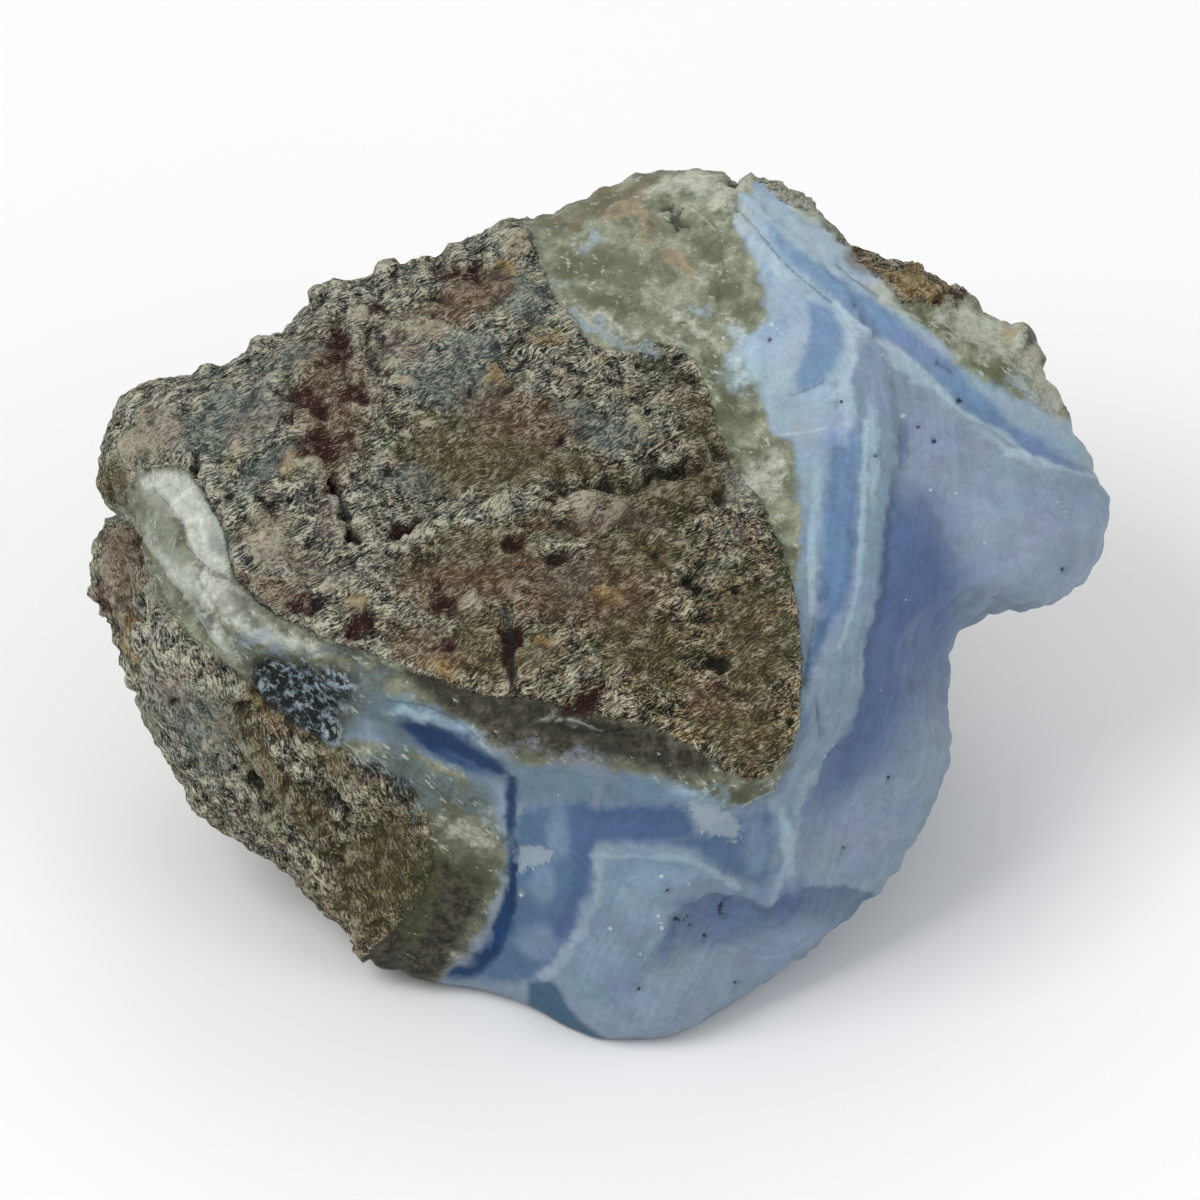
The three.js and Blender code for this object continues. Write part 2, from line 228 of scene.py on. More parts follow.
# Soft patches of tint: strength, rise in mm, and each one's middle, half axes and turn
tintPatches = {
    "rimStone": (0.75, 0.1, [
        (985, 330, 60, 20, 30), (1040, 385, 26, 14, 50), (890, 300, 30, 8, 36), (810, 212, 60, 8, 40),
    ]),
    "coolGrey": (0.6, 0, [
        (230, 420, 70, 30, -22), (460, 390, 60, 26, 10), (200, 720, 34, 50, -30),
        (270, 470, 40, 14, -30), (520, 300, 36, 24, 30), (600, 430, 50, 22, 20), (470, 350, 30, 20, 0),
        (420, 480, 44, 16, 0), (220, 540, 20, 12, 40), (580, 585, 36, 18, 10), (300, 360, 40, 14, -25),
    ]),
    "oliveBrown": (0.7, 0, [
        (460, 450, 70, 40, 0), (660, 500, 80, 30, -16), (480, 560, 60, 30, 0), (380, 880, 60, 50, 0),
        (700, 430, 18, 44, -20), (640, 560, 50, 30, 0), (560, 470, 44, 14, 0), (750, 640, 40, 70, -5),
        (640, 650, 50, 40, 10), (740, 730, 50, 30, 30), (400, 850, 50, 50, 0), (300, 800, 60, 20, 48),
        (250, 740, 60, 14, 55), (340, 760, 30, 14, 30), (500, 650, 60, 30, 10), (120, 480, 14, 30, -20), (500, 470, 60, 34, -10),
    ]),
    "pinkGrey": (0.45, 0, [
        (160, 432, 26, 26, 0), (403, 352, 30, 14, 20), (250, 430, 40, 14, -30), (300, 570, 60, 14, 20),
        (180, 690, 20, 30, -20), (330, 520, 14, 24, 0), (610, 520, 50, 12, 0), (124, 570, 20, 40, 10), (1032, 368, 18, 7, 30),
        (240, 606, 30, 10, 40),
    ]),
    "umberBrown": (0.6, 0, [
        (118, 590, 24, 50, -6),
        (332, 408, 44, 78, 4), (470, 300, 50, 20, -20), (560, 590, 90, 34, 4), (520, 420, 70, 30, 20),
        (280, 592, 46, 10, 18), (620, 610, 50, 20, -20), (430, 650, 50, 20, 20), (560, 530, 40, 12, 0),
        (480, 300, 30, 16, -20), (125, 540, 22, 16, 0), (280, 700, 60, 12, 50), (700, 700, 30, 20, 20),
        (450, 590, 60, 26, 10), (860, 262, 20, 6, 38),
    ]),
    "ochre": (0.75, 0.2, [
        (355, 608, 11, 13, 0), (313, 462, 12, 8, 10), (495, 379, 14, 9, 0), (551, 342, 18, 8, 0),
        (440, 668, 24, 8, 20), (544, 640, 9, 12, 0), (136, 650, 7, 36, -12), (265, 710, 32, 8, 50),
        (915, 287, 40, 11, 16), (509, 274, 14, 8, 0), (290, 470, 10, 8, 0), (1006, 330, 5, 12, 10), (610, 600, 20, 8, -20),
    ]),
    "creamy": (0.65, 0.5, [
        (514, 247, 16, 11, 0), (404, 386, 13, 10, 0), (389, 366, 10, 6, 0), (466, 611, 14, 11, -10),
        (360, 319, 17, 4, -25), (380, 328, 18, 3, 20), (636, 426, 12, 6, 20), (301, 621, 12, 4, -10),
        (690, 552, 16, 6, 20), (212, 728, 5, 30, -30), (262, 806, 5, 34, -34), (140, 440, 8, 30, 0),
        (560, 380, 14, 5, 30), (240, 456, 20, 5, -30), (152, 448, 20, 18, 20),
        (116, 590, 7, 34, -8), (270, 540, 24, 30, 20), (420, 330, 30, 12, 0), (300, 470, 16, 6, -20),
    ]),
    "ruddy": (0.95, -0.5, [
        (338, 352, 15, 36, 4), (306, 402, 24, 18, 0), (355, 393, 17, 10, 20), (322, 448, 32, 17, -10),
        (334, 482, 9, 14, 0), (404, 535, 20, 14, 10), (353, 536, 10, 12, 0), (302, 606, 20, 14, 0),
        (358, 629, 15, 10, 0), (447, 603, 14, 18, 0), (445, 648, 14, 10, 0), (562, 506, 30, 6, -8),
        (461, 275, 24, 14, 0), (588, 706, 20, 15, 0), (513, 655, 5, 38, 0), (734, 170, 12, 10, 0),
        (376, 312, 9, 5, 20), (520, 545, 10, 14, 0), (102, 604, 6, 26, -14), (948, 296, 10, 6, 20),
        (384, 372, 10, 4, 0), (737, 186, 4, 3, 0),
    ]),
    # Painted shadow: dark olive in creases and under overhangs, set in small hollows
    "oliveShade": (0.8, -0.7, [
        (662, 472, 30, 8, -24), (692, 588, 12, 9, 0), (196, 470, 5, 10, -10), (600, 492, 30, 4, 4),
        (226, 499, 4, 5, 0), (262, 504, 4, 5, 0), (510, 392, 5, 8, 0),
        (720, 668, 12, 8, 0), (256, 775, 8, 5, 10), (175, 592, 8, 7, 0), (205, 671, 6, 5, 0),
        (176, 700, 6, 5, 0), (232, 755, 7, 5, 30), (290, 420, 5, 4, 0), (555, 560, 8, 5, 0),
    ]),
    "greyGreen": (0.7, 0, [
        (150, 500, 24, 12, 40), (165, 540, 34, 12, 60), (196, 600, 34, 8, 58), (230, 650, 14, 16, 30), (160, 580, 10, 24, -20), (700, 190, 30, 10, 30),
        (150, 720, 10, 30, -10), (248, 612, 44, 13, 42), (172, 545, 14, 26, -40),
    ]),
    "oliveClear": (0.75, 0, [
        (584, 262, 40, 19, 0), (612, 300, 32, 12, 14), (728, 291, 18, 10, 0), (724, 388, 15, 46, -6),
        (757, 454, 20, 9, 0), (782, 560, 9, 40, 0), (1000, 372, 24, 8, 36), (712, 250, 14, 8, 30),
        (478, 872, 28, 18, 0), (420, 905, 20, 40, 10), (660, 372, 30, 8, 20), (786, 640, 8, 26, 0),
        (745, 785, 24, 10, -10), (430, 860, 12, 26, 0), (728, 789, 20, 8, 0),
        (928, 322, 34, 6, 40), (985, 372, 30, 6, 42),
    ]),
    "stainOrange": (0.75, 0.3, [
        (644, 224, 11, 20, -24), (683, 264, 28, 11, 40), (636, 202, 12, 14, 0), (616, 210, 14, 8, -20),
    ]),
    "hairBrown": (0.6, 0, [(604, 200, 54, 12, -28), (660, 172, 30, 6, -10), (560, 222, 20, 6, -10)]),
    # Painted shade: dark in the holes, which are set as small hollows
    "holeShade": (0.8, -0.8, [
        (676, 222, 17, 9, 15), (742, 168, 22, 8, 14), (676, 206, 12, 4, 0), (342, 797, 6, 4, 30),
        (351, 806, 5, 5, 0),
    ]),
    # Dark umber bands, most of them deepening the painted shade in the strip under the upper host block
    "umberBandShade": (0.65, -0.15, [
        (556, 724, 52, 10, 10), (618, 746, 30, 13, 18), (498, 706, 30, 9, 16), (664, 764, 26, 9, 26),
        (430, 686, 34, 7, 18), (612, 752, 9, 16, 0), (365, 665, 30, 5, 14), (545, 702, 34, 5, 10),
        (254, 622, 28, 4, 42), (236, 600, 22, 3, 44), (206, 618, 24, 3, 56),
    ]),
    "mauve": (0.5, 0, [
        (588, 762, 34, 10, 24), (600, 792, 5, 18, 0), (496, 744, 24, 9, 30), (668, 780, 20, 4, 14),
        (552, 752, 40, 6, 6),
    ]),
    "creamHaze": (0.75, 0, [
        (686, 182, 40, 12, -8), (746, 222, 8, 20, -20), (610, 322, 40, 6, 20),
        (465, 828, 24, 9, 14), (484, 842, 16, 7, 10), (744, 488, 26, 20, 20), (770, 480, 14, 26, 0),
        (456, 952, 12, 6, 10), (560, 716, 22, 4, 12), (690, 322, 30, 10, 30), (722, 200, 16, 12, 30),
        (706, 340, 22, 6, 30), (740, 182, 12, 6, 20), (1060, 408, 10, 16, -10),
    ]),
    "blueHaze": (0.7, 0, [
        (496, 902, 8, 24, 14), (480, 936, 10, 18, 36), (497, 818, 6, 22, -18), (468, 962, 12, 7, -30),
        (612, 340, 40, 9, 24), (650, 354, 20, 6, 10), (575, 318, 20, 4, 30), (700, 302, 16, 5, 20),
        (560, 286, 14, 4, 0), (506, 870, 6, 12, 10), (735, 352, 12, 20, -10), (800, 430, 10, 14, 0),
        (590, 240, 16, 5, 0), (1030, 392, 30, 6, 30),
    ]),
    "smoke": (0.8, 0, [
        (484, 792, 20, 14, 40),
        (440, 776, 26, 10, 26), (462, 796, 20, 8, 20), (404, 748, 24, 6, 14),
        (368, 692, 34, 20, 24), (398, 764, 36, 12, 24), (432, 790, 20, 14, 40), (352, 724, 22, 12, 20),
        (330, 650, 34, 6, 12), (372, 668, 30, 5, 20), (376, 708, 34, 14, 20),
        (398, 734, 26, 9, 24), (346, 690, 20, 16, 0),
    ]),
    "pocketDark": (0.9, -0.12, [
        (296, 704, 30, 22, 35), (372, 770, 14, 6, 30), (404, 790, 14, 10, 40), (1023, 344, 10, 15, -6),
    ]),
    "pocketBlue": (0.75, 0, [
        (254, 641, 20, 7, 14), (252, 658, 8, 8, 0), (310, 668, 10, 3, 20), (287, 690, 6, 3, 30),
        (304, 712, 6, 3, 40), (338, 704, 10, 6, 10), (282, 652, 14, 4, 8), (420, 806, 4, 12, 0),
    ]),
    "icePale": (0.55, 0.05, [
        (752, 232, 10, 34, -36), (742, 366, 18, 34, 0), (812, 550, 6, 80, 3), (775, 268, 8, 20, -30),
        (480, 736, 30, 5, 28), (700, 790, 30, 7, 8), (845, 410, 8, 40, 0),
        (800, 280, 24, 6, 40), (826, 262, 40, 5, 36), (914, 372, 50, 7, 36), (1010, 450, 44, 6, 30),
        (786, 850, 8, 46, -8), (870, 450, 6, 60, 0), (420, 712, 34, 5, 12),
    ]),
    "veinBlue": (0.3, 0, [
        (846, 296, 44, 9, 38), (906, 340, 44, 8, 36), (790, 262, 30, 7, 46), (768, 275, 6, 22, -10),
        (826, 350, 12, 34, 0), (960, 388, 34, 8, 40), (1040, 440, 36, 9, 22), (812, 384, 18, 8, -20),
        (828, 440, 8, 20, 0), (836, 560, 10, 90, 4), (824, 500, 4, 60, 0), (780, 330, 10, 14, 0),
    ]),
    "lavender": (0.5, 0, [
        (1000, 540, 60, 44, 20), (1060, 510, 34, 40, 0), (960, 470, 60, 30, 30), (880, 380, 16, 34, -20),
        (930, 430, 40, 20, 30), (870, 820, 40, 50, 30), (800, 950, 40, 30, -30),
    ]),
    # Deeper blue in the bands, and painted shade in the shade area and below the broken step
    "indigoAndShade": (0.5, 0, [
        (905, 560, 32, 60, 8), (884, 650, 22, 60, 6), (905, 444, 8, 26, 0), (862, 720, 20, 60, 20),
        (930, 600, 26, 50, 10), (640, 824, 60, 13, 0), (700, 900, 40, 8, 0), (720, 925, 50, 24, -10),
        (575, 822, 20, 18, 0), (588, 860, 9, 46, -2), (566, 930, 8, 30, 28), (470, 762, 30, 4, 26),
        (668, 940, 7, 26, 8), (790, 900, 14, 30, 20),
    ]),
    "deepNavy": (0.85, 0, [
        (444, 735, 42, 12, 24), (513, 806, 5, 36, 0), (514, 880, 6, 30, 0), (485, 955, 26, 8, -40),
        (498, 768, 12, 4, 20),
    ]),
    "lightCloud": (0.5, 0, [
        (700, 796, 34, 7, 6), (545, 880, 14, 26, 0), (540, 940, 20, 20, 20),
        (560, 830, 12, 30, 0), (650, 900, 30, 40, 20), (600, 960, 20, 30, 30), (660, 872, 40, 8, 0),
        (700, 870, 20, 8, 10), (820, 612, 8, 12, 0), (996, 470, 14, 14, 0), (525, 892, 5, 4, 0), (752, 840, 15, 36, 0),
        (655, 915, 5, 16, 20), (648, 946, 5, 14, 20),
    ]),
}

# Thin lines with their widths, and small spots with their radii, in drawing units
thinMarks = {
    "whiteLine": {"through": True, "lines": [
        ([(838, 312), (848, 330), (853, 350), (852, 370), (843, 386), (832, 400)], 7),
        ([
            (834, 306), (863, 333), (889, 346), (914, 362), (927, 374), (946, 397), (962, 413),
            (991, 426), (1010, 438), (1026, 454), (1051, 465), (1096, 477),
        ], 5),
        ([(863, 424), (864, 474), (860, 520), (859, 560), (855, 592), (847, 622), (836, 650)], 5),
        ([(594, 852), (640, 852), (681, 853), (709, 867), (735, 884)], 6),
        ([(599, 854), (603, 876), (596, 902), (578, 937), (558, 965), (544, 976)], 10),
        ([(732, 446), (766, 440), (796, 436), (828, 430)], 3),
        ([(806, 770), (795, 800), (794, 822), (786, 853), (779, 875), (770, 894)], 9),
    ]},
    "wisp": {"lines": [
        ([(568, 718), (588, 725), (604, 732)], 2.2),
        ([(345, 637), (362, 645), (390, 652)], 2),
        ([(196, 604), (205, 628), (222, 648), (240, 655)], 2.4),
        ([(232, 640), (238, 652), (243, 664)], 2),
        ([(694, 800), (706, 788), (700, 780)], 1.6),
        ([(738, 802), (752, 794), (770, 786)], 1.8),
        ([(640, 290), (664, 306), (690, 316)], 2),
        ([(655, 330), (676, 342), (700, 350)], 2.4),
        ([(120, 512), (146, 540), (166, 566), (180, 590)], 2.4),
        ([(148, 670), (160, 640), (176, 610)], 2),
        ([(350, 742), (366, 752), (378, 770)], 2.2),
        ([(366, 744), (384, 756), (396, 772)], 2),
        ([(680, 204), (700, 214), (716, 232)], 1.8),
        ([(700, 440), (714, 466), (724, 486)], 2),
        ([(940, 330), (964, 336), (990, 330), (1010, 326)], 2),
        ([(228, 700), (262, 770), (290, 812)], 2),
        ([(936, 308), (950, 322), (968, 334), (990, 344), (1012, 356)], 1.8),
        ([(960, 322), (976, 320), (994, 324), (1012, 334)], 2),
        ([(974, 344), (996, 352), (1014, 366), (1022, 382)], 2),
        ([(1000, 370), (1016, 384), (1036, 396)], 1.8),
        ([(132, 410), (140, 436), (146, 462), (142, 480)], 1.8),
        ([(104, 562), (110, 586), (122, 604), (130, 630)], 1.6),
        ([(118, 540), (128, 562), (134, 590), (146, 616)], 1.6),
        ([(196, 700), (206, 730), (226, 752), (244, 778)], 1.8),
    ]},
    # Painted glints: small white highlight spots
    "glintHighlight": {"spots": [
        (881, 357, 1.7), (890, 371, 1.6), (904, 415, 2), (930, 490, 1.5), (956, 493, 1.2),
        (984, 543, 1.3), (1057, 502, 1.2), (1066, 512, 1), (525, 892, 2), (657, 912, 1.6),
        (660, 924, 1.6), (612, 925, 1.4), (771, 326, 2.4), (724, 340, 1.5), (782, 336, 1.4),
        (822, 755, 1.5), (829, 744, 1.3), (661, 872, 1.6), (686, 880, 1.4), (640, 951, 1.6),
        (866, 432, 1), (699, 828, 1.1), (905, 600, 0.9), (880, 690, 1), (560, 792, 1.1),
    ]},
    "crack": {"lines": [
        ([(732, 202), (767, 242), (783, 264), (831, 303)], 2.2),
        ([(813, 620), (808, 650), (803, 684)], 3.2),
        ([(815, 700), (816, 716), (818, 732)], 2),
        ([(517, 842), (516, 866)], 2.4),
        ([(536, 712), (572, 724), (600, 730), (640, 733)], 3),
        ([(338, 488), (346, 506), (352, 524), (358, 544)], 4),
        ([(840, 262), (860, 278), (880, 293)], 2.6),
        ([(940, 361), (954, 371)], 2),
        ([(390, 700), (430, 704), (462, 722), (482, 738)], 2.2),
        ([(818, 772), (826, 756), (838, 742)], 2.6),
        ([(232, 572), (262, 606), (300, 632), (352, 652), (410, 676)], 2.4),
        ([(509, 612), (512, 650), (514, 692)], 3),
        ([(793, 395), (812, 388), (824, 382)], 1.6),
        ([(200, 486), (212, 508), (222, 530), (230, 560), (234, 578)], 2.4),
        ([(186, 546), (204, 566), (228, 578)], 2),
        ([(150, 486), (168, 506), (182, 524), (186, 546)], 1.6),
    ]},
    # Pits: small hollows painted near-black, as painted shade
    "pit": {"spots": [
        (722, 906, 2.2), (722, 914, 1.8), (728, 900, 1.3), (678, 920, 2.2), (689, 917, 1.3),
        (691, 925, 1.1), (706, 936, 1.8), (737, 984, 1.5), (639, 990, 1.5), (667, 887, 1.8),
        (936, 440, 2), (874, 457, 1.8), (920, 425, 1.3), (889, 778, 1.4), (845, 849, 1.3),
        (770, 340, 2.2), (841, 403, 1.3), (854, 306, 1.8), (1064, 570, 1.8), (961, 399, 1.8),
        (342, 797, 3.2), (350, 806, 3.6), (334, 790, 2), (256, 772, 2.6), (222, 750, 2.6),
        (404, 534, 4), (318, 604, 5), (352, 478, 3), (312, 488, 3), (455, 520, 3),
        (735, 592, 3), (560, 440, 3), (470, 395, 3), (655, 560, 3), (250, 560, 3), (290, 500, 3),
    ]},
}

# Ridges and grooves of the host rock: marks, half their width, and how far they rise in mm
folds = [
    ([(505, 510), (560, 508), (612, 511), (662, 500), (700, 482), (728, 472)], 16, 0.8),
    ([(556, 490), (600, 494), (640, 490), (668, 480), (694, 466), (716, 456)], 15, -1.0),
    ([(520, 524), (570, 528), (620, 530), (680, 518), (730, 498)], 10, -0.5),
    ([(342, 326), (336, 360), (328, 400), (322, 440), (332, 482)], 15, -0.8),
    ([(332, 480), (342, 505), (350, 545)], 8, -0.7),
    ([(318, 336), (345, 322), (376, 312), (398, 330)], 8, 0.6),
    ([(368, 330), (364, 352), (374, 366), (384, 350), (380, 330)], 5, -0.5),
    ([(404, 560), (430, 540), (470, 520), (506, 514)], 12, 0.5),
    ([(180, 420), (196, 450), (200, 490)], 8, -0.6),
    ([(215, 690), (250, 750), (290, 800), (330, 850)], 9, 0.6),
    ([(240, 700), (270, 752), (310, 800), (350, 840)], 10, -0.6),
    ([(186, 640), (206, 690), (232, 740), (262, 790)], 8, 0.4),
    ([(124, 512), (144, 556), (150, 610), (142, 672)], 7, -0.9),
    ([(318, 300), (330, 296)], 17, 1.1),
    ([(284, 338), (300, 330)], 14, -0.9),
    ([(258, 350), (262, 346)], 12, 0.7),
    ([(106, 510), (120, 514)], 9, -1.0),
    ([(80, 562), (86, 600), (104, 648), (126, 700)], 28, -1.1),
    ([(1022, 338), (1034, 352)], 17, 1.4),
    ([(168, 384), (190, 376)], 14, -0.7),
    ([(384, 272), (396, 268)], 12, 0.8),
    ([(356, 286), (368, 282)], 10, -0.6),
    ([(432, 262), (446, 256)], 10, -0.7),
    ([(700, 560), (690, 590), (700, 620)], 10, -0.6),
    ([(720, 690), (740, 700), (760, 690)], 10, -0.5),
    ([(436, 300), (470, 316), (510, 300)], 10, -0.5),
    ([(880, 300), (930, 310), (980, 340)], 8, -0.6),
]

stoneShape = {
    "piece": "lace_agate_stone",
    "node": "agate_stone",
    "grid": 0.00051,  # the mesh's edge length
    "softening": 4,
    "flatSpot": 0.0012,  # nothing is roughened below this height
    "waves": [  # texture, size, and depth on the host rock, the agate and its broken edges
        ("CLOUDS", 0.0075, 0.0018, 0.0003, 0),
        ("CLOUDS", 0.0028, 0.0013, 0.00022, 0),
        ("CLOUDS", 0.0011, 0.0008, 0.00006, 0),
        ("CLOUDS", 0.0006, 0.0005, 0.00003, 0),
        ("VORONOI", 0.0028, 0, 0, -0.0011),
    ],
}


def makeActive(thing):
    bpy.ops.object.select_all(action="DESELECT")
    thing.select_set(True)
    bpy.context.view_layer.objects.active = thing


def applyModifier(thing, kind, **settings):
    makeActive(thing)
    modifier = thing.modifiers.new(kind.lower(), kind)
    for name, value in settings.items():
        setattr(modifier, name, value)
    bpy.ops.object.modifier_apply(modifier=modifier.name)


def readPoints(thing):
    values = np.empty(len(thing.data.vertices) * 3, np.float32)
    thing.data.vertices.foreach_get("co", values)
    return values.reshape(-1, 3).astype(float)


def readNormals(thing):
    values = np.empty(len(thing.data.vertices) * 3, np.float32)
    thing.data.vertex_normals.foreach_get("vector", values)
    return values.reshape(-1, 3).astype(float)


def writePoints(thing, points):
    thing.data.vertices.foreach_set("co", points.astype(np.float32).ravel())
    thing.data.update()


def ease(values, low, high):
    t = np.clip((values - low) / (high - low), 0, 1)
    return t * t * (3 - 2 * t)


# Millimetres right, up and off the drawing
def onDrawing(points):
    p = (points - drawing["place"]) * 1000
    return p[:, 0], p @ upwards, p @ outwards


# Marks' places for points in mm: behind the stone's widest section the layers lean to the right
def markPlaces(right, up, height):
    behind = np.maximum(-12 - 0.16 * up - height, 0)
    across = drawing["middle"][0] + (right - 0.55 * behind) / drawing["unit"]
    down = drawing["middle"][1] - (up + 0.25 * behind) / drawing["unit"]
    return np.stack([across, down], 1), behind


# The same line with its corners cut off, to draw it as a curve
def curved(marks, closed=False):
    ring = marks + marks[:1] if closed else marks
    cut = [] if closed else [marks[0]]
    for (ax, ay), (bx, by) in zip(ring, ring[1:]):
        cut.append((0.75 * ax + 0.25 * bx, 0.75 * ay + 0.25 * by))
        cut.append((0.25 * ax + 0.75 * bx, 0.25 * ay + 0.75 * by))
    return cut if closed else cut + [marks[-1]]


# Offset in mm of each place from the nearest point of a line
def lineOffset(marks, places):
    nearest = np.full(len(places), np.inf)
    offset = np.zeros((len(places), 2))
    for start, end in zip(marks, marks[1:]):
        a = np.array(start, float)
        run = np.array(end, float) - a
        t = np.clip((places - a) @ run / (run @ run), 0, 1)
        away = places - a - t[:, None] * run
        distance = (away**2).sum(1)
        closer = distance < nearest
        nearest[closer] = distance[closer]
        offset[closer] = away[closer]
    return offset * drawing["unit"]


# Depth inside an area in mm, below zero outside it
def areaDepth(marks, places):
    closed = marks + marks[:1]
    x, y = places.T
    inside = np.zeros(len(places), bool)
    for (ax, ay), (bx, by) in zip(closed, closed[1:]):
        if ay != by:
            inside ^= ((ay > y) != (by > y)) & (x < (bx - ax) * (y - ay) / (by - ay) + ax)
    distance = np.hypot(*lineOffset(closed, places).T)
    return np.where(inside, distance, -distance)


def areasDepth(parts, places, behind):
    areas = [curved(marks, closed=True) for marks in parts["areas"]]
    depth = np.maximum.reduce([areaDepth(marks, places) for marks in areas])
    if not parts.get("through"):
        depth = depth - 2 * behind
    return np.maximum(depth, -6)


# Offset from the nearest thin mark's middle, in its half widths. The third part grows away from
# the mark, so that two marks with a gap between them stay apart.
def thinOffset(parts, places, behind):
    lines = [(curved(curved(marks)), width) for marks, width in parts.get("lines", [])]
    spots = [([(x, y), (x + 0.01, y)], 2 * radius) for x, y, radius in parts.get("spots", [])]
    gap = np.full(len(places), np.inf)
    offset = np.zeros((len(places), 3))
    for marks, width in lines + spots:
        half = width / 2 * drawing["unit"]
        away = lineOffset(marks, places)
        beside = np.hypot(*away.T) - half
        if not parts.get("through"):
            beside = beside + 2 * behind
        closer = beside < gap
        gap[closer] = beside[closer]
        offset[closer, :2] = away[closer] / half
        offset[closer, 2] = 8 * ease(beside[closer], 0.5, 0.9)
    return np.clip(offset, -40, 40), gap


# Uneven offsets in drawing units, so that no patch's edge is smooth
def unevenness(places):
    small = [noise.noise_vector((x / 18, y / 18, 0)) for x, y in places]
    smaller = [noise.noise_vector((x / 6, y / 6, 9)) for x, y in places]
    return np.array(small)[:, :2] * 14 + np.array(smaller)[:, :2] * 6


# Tint laid over each point, its share there, and the patches' rise in mm
def layTints(uneven, shown):
    tint = np.zeros((len(uneven), 3))
    share = np.zeros(len(uneven))
    rise = np.zeros(len(uneven))
    for name, (strength, height, patches) in tintPatches.items():
        tone = np.array(linear(tones[name])[:3])
        for x, y, across, down, turn in patches:
            angle = math.radians(turn)
            spread = np.array([(math.cos(angle), -math.sin(angle)), (math.sin(angle), math.cos(angle))])
            far = np.hypot(*((uneven - (x, y)) @ spread / (across, down)).T)
            part = (1 - ease(far, 0.5, 1.3)) * shown
            rise = rise + height * part
            part = part * strength
            tint = tint * (1 - part[:, None]) + tone * part[:, None]
            share = share * (1 - part) + part
    return tint / np.maximum(share, 0.001)[:, None], share, rise


# Fine mesh of the stone, rounded off the solid's facets
def copySolid(node):
    stone = bpy.data.objects.new(stoneShape["piece"], node.data.copy())
    bpy.context.scene.collection.objects.link(stone)
    makeActive(stone)
    bpy.ops.object.mode_set(mode="EDIT")
    bpy.ops.mesh.select_all(action="SELECT")
    bpy.ops.mesh.remove_doubles(threshold=1e-6)
    bpy.ops.object.mode_set(mode="OBJECT")
    applyModifier(stone, "SUBSURF", levels=1, render_levels=1)
    applyModifier(stone, "REMESH", mode="VOXEL", voxel_size=stoneShape["grid"])
    applyModifier(stone, "SMOOTH", factor=0.5, iterations=stoneShape["softening"])
    return stone


def weigh(stone, name, weights):
    group = stone.vertex_groups.new(name=name)
    levels = np.round(weights * 20).astype(int)
    for level in range(1, 21):
        group.add(np.flatnonzero(levels == level).tolist(), level / 20, "REPLACE")


def roughen(stone, kind, size, strength, group):
    texture = bpy.data.textures.new(group, kind)
    texture.noise_scale = size
    applyModifier(
        stone, "DISPLACE", texture=texture, texture_coords="LOCAL", strength=strength,
        mid_level=0.5, vertex_group=group,
    )


# Steps, cracks, hollows and pits that the drawing shows, as a rise in mm
def drawnRelief(depths, gaps, layers, ripple, places):
    rise = np.zeros(len(places))
    for marks, half, height in folds:
        away = np.hypot(*lineOffset(curved(curved(marks)), places).T) / drawing["unit"]
        rise += height * (1 - ease(away / half + 0.3 * ripple, 0, 1))
    rise += 0.45 * ease(depths["host"] + 0.35 * ripple, -0.25, 0.3)
    broken = 1 - ease(places[:, 1], 920, 985)
    rise += 0.5 * ease(layers + 0.5 * ripple, -0.3, 0.15) * broken
    rise -= 0.3 * ease(layers + 0.5 * ripple, -1.4, -0.3) * (1 - ease(layers, -0.3, 0.1)) * broken
    rise -= 0.3 * ease(depths["chip"], -0.15, 0.2)
    rise -= 0.22 * ease(depths["navy"], -0.4, 0.4)
    rise -= 0.5 * (1 - ease(gaps["crack"], 0.05, 0.45))
    rise -= 0.45 * (1 - ease(gaps["pit"], 0, 0.4))
    rise += 0.15 * (1 - ease(gaps["wisp"], 0, 0.3))
    return rise


# How far each point stands above its surroundings, in mm
def standingProud(stone, points, normals, rounds):
    edges = np.empty(len(stone.data.edges) * 2, np.int32)
    stone.data.edges.foreach_get("vertices", edges)
    a, b = edges.reshape(-1, 2).T
    count = np.bincount(a, minlength=len(points)) + np.bincount(b, minlength=len(points))
    smooth = points.copy()
    for _ in range(rounds):
        total = np.empty_like(smooth)
        for axis in range(3):
            total[:, axis] = np.bincount(a, smooth[b, axis], len(points))
            total[:, axis] += np.bincount(b, smooth[a, axis], len(points))
        smooth = total / count[:, None]
    return ((points - smooth) * normals).sum(1) * 1000


def keepValues(stone, name, values):
    attribute = stone.data.attributes.new(name, "FLOAT", "POINT")
    attribute.data.foreach_set("value", values.astype(np.float32))


def keepVectors(stone, name, vectors):
    attribute = stone.data.attributes.new(name, "FLOAT_VECTOR", "POINT")
    attribute.data.foreach_set("vector", vectors.astype(np.float32).ravel())


